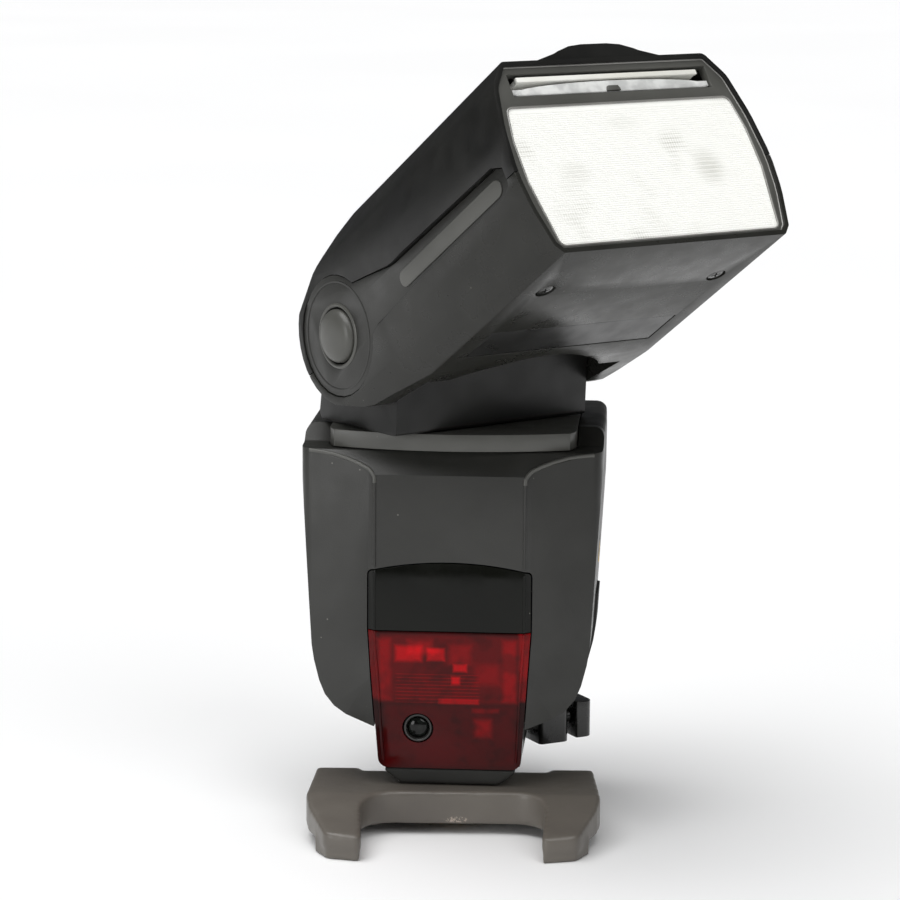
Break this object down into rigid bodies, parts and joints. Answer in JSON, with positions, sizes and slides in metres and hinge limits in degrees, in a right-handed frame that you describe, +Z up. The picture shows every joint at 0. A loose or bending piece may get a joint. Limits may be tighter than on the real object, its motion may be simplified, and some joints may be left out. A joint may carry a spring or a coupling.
{
  "type": "speedlight flash",
  "caption": "Camera speedlight with a tilting, swivelling zoom head, a red autofocus window and a shoe foot locked in a small tabletop stand.",
  "frame": {"origin": "on the floor under the stand, on the axis about which the head swivels", "axes": "+Z up, -Y the way the flash body faces, +X to the right of someone who looks at its front"},
  "size_m": [0.116, 0.1197, 0.1917],
  "materials": {
    "shell": "satin",
    "gloss": "polished",
    "frame": "satin",
    "stand": "fine textured",
    "rubber": "matte",
    "dark_window": "polished",
    "red_window": "polished, translucent",
    "clear": "clear, prismatic",
    "white": "satin",
    "lens": "polished",
    "reflector": "bright",
    "steel": "nickel plated",
    "brass": "turned",
    "display": "polished",
    "board": "solder mask",
    "cell": "printed sleeve",
    "label": "satin"
  },
  "bodies": {
    "stand": {"mini_stand": "stand", "tripod_bush": "brass"},
    "flash_body": {"shoe_foot": "steel", "centre_contact": "brass", "contact_strip": "brass", "foot_skirt": "rubber", "foot_housing": "shell", "front_cover": "shell", "rear_cover": "shell", "neck_plate": "shell", "sensor_window": "dark_window", "af_window": "red_window", "metering_sensor": "lens", "af_beam_lens": "clear", "confirm_lamp": "clear", "display_window": "clear", "display_module": "display", "main_board": "board", "battery_cell_1": "cell", "battery_cell_2": "cell", "battery_cell_3": "cell", "battery_cell_4": "cell", "battery_contact_plate": "steel", "main_capacitor": "cell", "battery_door_hinge_pin": "steel", "terminal_block": "gloss", "bracket_bush": "brass"},
    "lock_lever": {"lock_lever": "gloss"},
    "lock_release_button": {"lock_release_button": "gloss"},
    "locking_pin": {"locking_pin": "steel"},
    "light_button": {"light_button": "rubber"},
    "mode_button": {"mode_button": "rubber"},
    "sync_button": {"sync_button": "rubber"},
    "zoom_button": {"zoom_button": "rubber"},
    "pilot_button": {"pilot_button": "clear"},
    "set_button": {"set_button": "rubber"},
    "select_dial": {"select_dial": "gloss"},
    "power_switch": {"power_switch": "gloss"},
    "battery_door": {"battery_door": "shell"},
    "battery_door_latch": {"battery_door_latch": "gloss"},
    "terminal_cover": {"terminal_cover": "rubber"},
    "swivel_neck": {"swivel_base": "shell", "hinge_shaft": "steel"},
    "head": {"head_upper_shell": "shell", "head_lower_shell": "shell", "hinge_trim_left": "shell", "hinge_trim_right": "shell", "rating_plate": "label", "head_screw_1": "steel", "head_screw_2": "steel", "front_frame": "frame", "fresnel_window": "clear", "zoom_motor": "steel"},
    "tilt_lock_button": {"tilt_lock_button": "gloss"},
    "wide_panel": {"wide_panel": "clear"},
    "catchlight_panel": {"catchlight_panel": "white"},
    "zoom_unit": {"reflector": "reflector", "flash_tube": "clear", "zoom_carriage": "shell"},
    "zoom_lead_screw": {"zoom_lead_screw": "steel"}
  },
  "joints": [
    {"name": "stand_slide", "type": "slide", "parent": "stand", "child": "flash_body", "axis": [-0.0523, 0.9986, 0], "range_m": [0, 0.024]},
    {"name": "lock_lever_turn", "type": "hinge", "parent": "flash_body", "child": "lock_lever", "pos_m": [0, 0.004, 0.01905], "axis": [0, 0, 1], "range_deg": [0, 75]},
    {"name": "locking_pin_drop", "type": "slide", "parent": "flash_body", "child": "locking_pin", "axis": [0, 0, -1], "range_m": [0, 0.0015]},
    {"name": "lock_release_press", "type": "slide", "parent": "lock_lever", "child": "lock_release_button", "axis": [-0.8572, -0.515, 0], "range_m": [0, 0.0015], "stiffness_N_per_m": 500},
    {"name": "head_swivel", "type": "hinge", "parent": "flash_body", "child": "swivel_neck", "pos_m": [0, 0, 0.1005], "axis": [0, 0, 1], "range_deg": [-220.7, 139.3]},
    {"name": "head_tilt", "type": "hinge", "parent": "swivel_neck", "child": "head", "pos_m": [0, 0, 0.1214], "axis": [-0.7581, -0.6521, 0], "range_deg": [-34.3, 55.7]},
    {"name": "tilt_lock_press", "type": "slide", "parent": "head", "child": "tilt_lock_button", "axis": [0.7581, 0.6521, 0], "range_m": [0, 0.0015], "stiffness_N_per_m": 500},
    {"name": "wide_panel_slide", "type": "slide", "parent": "head", "child": "wide_panel", "axis": [0.5387, -0.6263, 0.5635], "range_m": [0, 0.036]},
    {"name": "catchlight_panel_slide", "type": "slide", "parent": "head", "child": "catchlight_panel", "axis": [0.5387, -0.6263, 0.5635], "range_m": [0, 0.03]},
    {"name": "zoom_travel", "type": "slide", "parent": "head", "child": "zoom_unit", "axis": [0.5387, -0.6263, 0.5635], "range_m": [-0.012, 0.008]},
    {"name": "zoom_lead_screw_turn", "type": "hinge", "parent": "head", "child": "zoom_lead_screw", "pos_m": [0.05878, -0.02156, 0.14417], "axis": [0.5387, -0.6263, 0.5635], "range_deg": [-720, 480]},
    {"name": "battery_door_swing", "type": "hinge", "parent": "flash_body", "child": "battery_door", "pos_m": [-0.0335, 0.0262, 0.054], "axis": [0, 0, -1], "range_deg": [0, 100]},
    {"name": "battery_door_latch_slide", "type": "slide", "parent": "battery_door", "child": "battery_door_latch", "axis": [0, 1, 0], "range_m": [0, 0.0025]},
    {"name": "terminal_cover_swing", "type": "hinge", "parent": "flash_body", "child": "terminal_cover", "pos_m": [0.0343, 0.0135, 0.054], "axis": [0, -1, 0], "range_deg": [0, 110], "stiffness_Nm_per_rad": 0.002},
    {"name": "light_button_press", "type": "slide", "parent": "flash_body", "child": "light_button", "axis": [0, -1, 0], "range_m": [0, 0.0006], "stiffness_N_per_m": 500},
    {"name": "mode_button_press", "type": "slide", "parent": "flash_body", "child": "mode_button", "axis": [0, -1, 0], "range_m": [0, 0.0006], "stiffness_N_per_m": 500},
    {"name": "sync_button_press", "type": "slide", "parent": "flash_body", "child": "sync_button", "axis": [0, -1, 0], "range_m": [0, 0.0006], "stiffness_N_per_m": 500},
    {"name": "zoom_button_press", "type": "slide", "parent": "flash_body", "child": "zoom_button", "axis": [0, -1, 0], "range_m": [0, 0.0006], "stiffness_N_per_m": 500},
    {"name": "pilot_button_press", "type": "slide", "parent": "flash_body", "child": "pilot_button", "axis": [0, -1, 0], "range_m": [0, 0.0006], "stiffness_N_per_m": 500},
    {"name": "set_button_press", "type": "slide", "parent": "flash_body", "child": "set_button", "axis": [0, -1, 0], "range_m": [0, 0.0006], "stiffness_N_per_m": 500},
    {"name": "select_dial_turn", "type": "hinge", "parent": "flash_body", "child": "select_dial", "pos_m": [0, 0.034, 0.045], "axis": [0, 1, 0], "continuous": true},
    {"name": "power_switch_slide", "type": "slide", "parent": "flash_body", "child": "power_switch", "axis": [0, 0, 1], "range_m": [0, 0.004]}
  ],
  "couplings": [
    {"joint": "locking_pin_drop", "follows": "lock_lever_turn", "m_per_rad": 0.0011448},
    {"joint": "zoom_lead_screw_turn", "follows": "zoom_travel", "rad_per_m": 1047.2}
  ]
}
